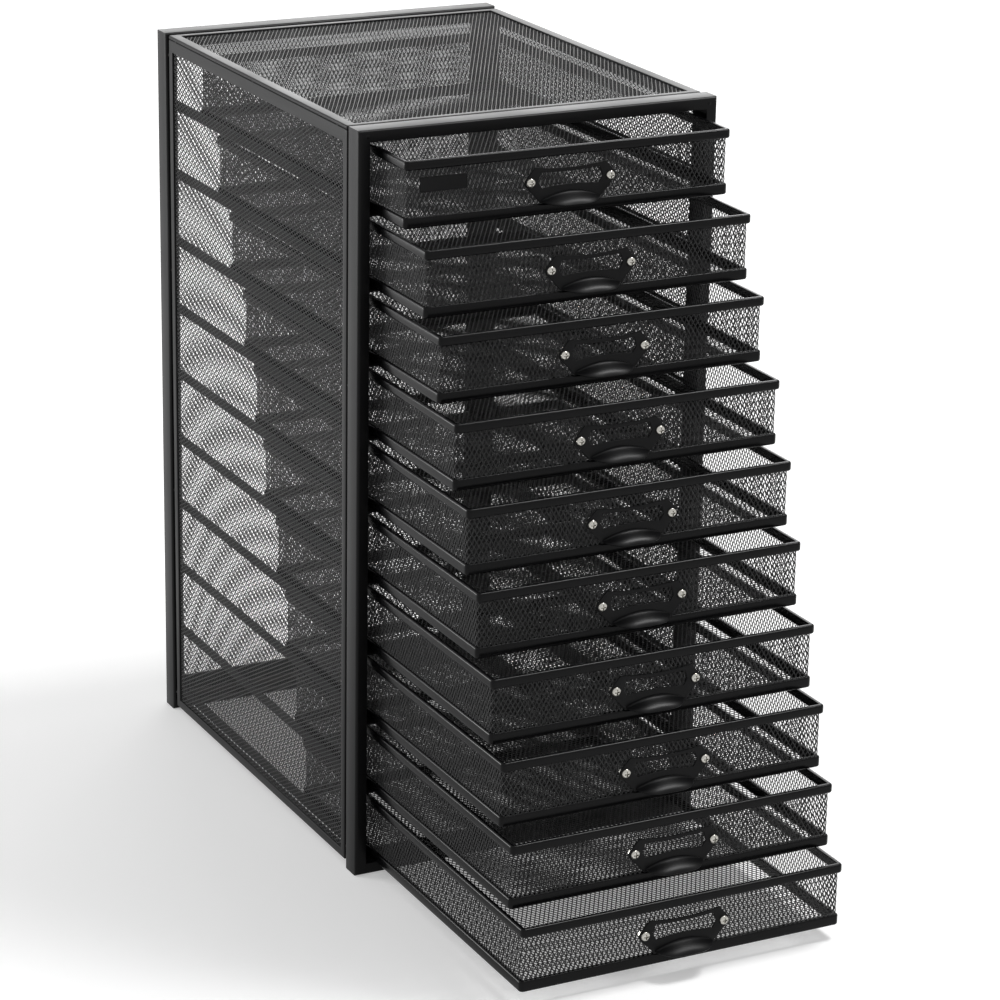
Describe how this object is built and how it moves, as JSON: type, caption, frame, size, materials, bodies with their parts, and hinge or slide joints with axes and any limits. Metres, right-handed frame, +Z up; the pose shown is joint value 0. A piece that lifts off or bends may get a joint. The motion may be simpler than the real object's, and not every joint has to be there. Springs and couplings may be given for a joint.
{
  "type": "paper drawer cabinet",
  "caption": "Upright black wire-mesh cabinet of shallow sliding trays for paper, each with a label-holder cup pull, standing with the trays drawn out in steps.",
  "frame": {"origin": "middle of the underside of the front frame's bottom tube, at the middle of the tube's depth", "axes": "+X to the viewer's right, +Y from the drawer fronts to the back panel, +Z up"},
  "size_m": [0.254, 0.5555, 0.501],
  "materials": {
    "cabinet_coat": "satin black powder coat",
    "panel_mesh": "satin black powder coat",
    "rim_coat": "satin black powder coat",
    "drawer_mesh": "satin black powder coat",
    "pull_enamel": "gloss black enamel",
    "badge_enamel": "satin black enamel",
    "screw_nickel": "bright nickel plate"
  },
  "bodies": {
    "cabinet": {"front_frame": "cabinet_coat", "rear_frame": "cabinet_coat", "left_panel_frame": "cabinet_coat", "left_panel_mesh": "panel_mesh", "right_panel_frame": "cabinet_coat", "right_panel_mesh": "panel_mesh", "top_panel_frame": "cabinet_coat", "top_panel_mesh": "panel_mesh", "bottom_panel_frame": "cabinet_coat", "bottom_panel_mesh": "panel_mesh", "back_panel_frame": "cabinet_coat", "back_panel_mesh": "panel_mesh", "seam_welds": "cabinet_coat", "corner_rivets": "cabinet_coat", "left_runners": "cabinet_coat", "right_runners": "cabinet_coat"},
    "drawer_1": {"drawer_1_rims": "rim_coat", "drawer_1_basket": "drawer_mesh", "drawer_1_pull": "pull_enamel", "drawer_1_screws": "screw_nickel", "badge_plate": "badge_enamel"},
    "drawer_2": {"drawer_2_rims": "rim_coat", "drawer_2_basket": "drawer_mesh", "drawer_2_pull": "pull_enamel", "drawer_2_screws": "screw_nickel"},
    "drawer_3": {"drawer_3_rims": "rim_coat", "drawer_3_basket": "drawer_mesh", "drawer_3_pull": "pull_enamel", "drawer_3_screws": "screw_nickel"},
    "drawer_4": {"drawer_4_rims": "rim_coat", "drawer_4_basket": "drawer_mesh", "drawer_4_pull": "pull_enamel", "drawer_4_screws": "screw_nickel"},
    "drawer_5": {"drawer_5_rims": "rim_coat", "drawer_5_basket": "drawer_mesh", "drawer_5_pull": "pull_enamel", "drawer_5_screws": "screw_nickel"},
    "drawer_6": {"drawer_6_rims": "rim_coat", "drawer_6_basket": "drawer_mesh", "drawer_6_pull": "pull_enamel", "drawer_6_screws": "screw_nickel"},
    "drawer_7": {"drawer_7_rims": "rim_coat", "drawer_7_basket": "drawer_mesh", "drawer_7_pull": "pull_enamel", "drawer_7_screws": "screw_nickel"},
    "drawer_8": {"drawer_8_rims": "rim_coat", "drawer_8_basket": "drawer_mesh", "drawer_8_pull": "pull_enamel", "drawer_8_screws": "screw_nickel"},
    "drawer_9": {"drawer_9_rims": "rim_coat", "drawer_9_basket": "drawer_mesh", "drawer_9_pull": "pull_enamel", "drawer_9_screws": "screw_nickel"},
    "drawer_10": {"drawer_10_rims": "rim_coat", "drawer_10_basket": "drawer_mesh", "drawer_10_pull": "pull_enamel", "drawer_10_screws": "screw_nickel"}
  },
  "joints": [
    {"name": "drawer_1_slide", "type": "slide", "parent": "cabinet", "child": "drawer_1", "axis": [0, -1, 0], "range_m": [-0.038, 0.21]},
    {"name": "drawer_2_slide", "type": "slide", "parent": "cabinet", "child": "drawer_2", "axis": [0, -1, 0], "range_m": [-0.0675, 0.1805]},
    {"name": "drawer_3_slide", "type": "slide", "parent": "cabinet", "child": "drawer_3", "axis": [0, -1, 0], "range_m": [-0.088, 0.16]},
    {"name": "drawer_4_slide", "type": "slide", "parent": "cabinet", "child": "drawer_4", "axis": [0, -1, 0], "range_m": [-0.111, 0.137]},
    {"name": "drawer_5_slide", "type": "slide", "parent": "cabinet", "child": "drawer_5", "axis": [0, -1, 0], "range_m": [-0.129, 0.119]},
    {"name": "drawer_6_slide", "type": "slide", "parent": "cabinet", "child": "drawer_6", "axis": [0, -1, 0], "range_m": [-0.1445, 0.1035]},
    {"name": "drawer_7_slide", "type": "slide", "parent": "cabinet", "child": "drawer_7", "axis": [0, -1, 0], "range_m": [-0.165, 0.083]},
    {"name": "drawer_8_slide", "type": "slide", "parent": "cabinet", "child": "drawer_8", "axis": [0, -1, 0], "range_m": [-0.1805, 0.0675]},
    {"name": "drawer_9_slide", "type": "slide", "parent": "cabinet", "child": "drawer_9", "axis": [0, -1, 0], "range_m": [-0.195, 0.053]},
    {"name": "drawer_10_slide", "type": "slide", "parent": "cabinet", "child": "drawer_10", "axis": [0, -1, 0], "range_m": [-0.211, 0.037]}
  ]
}
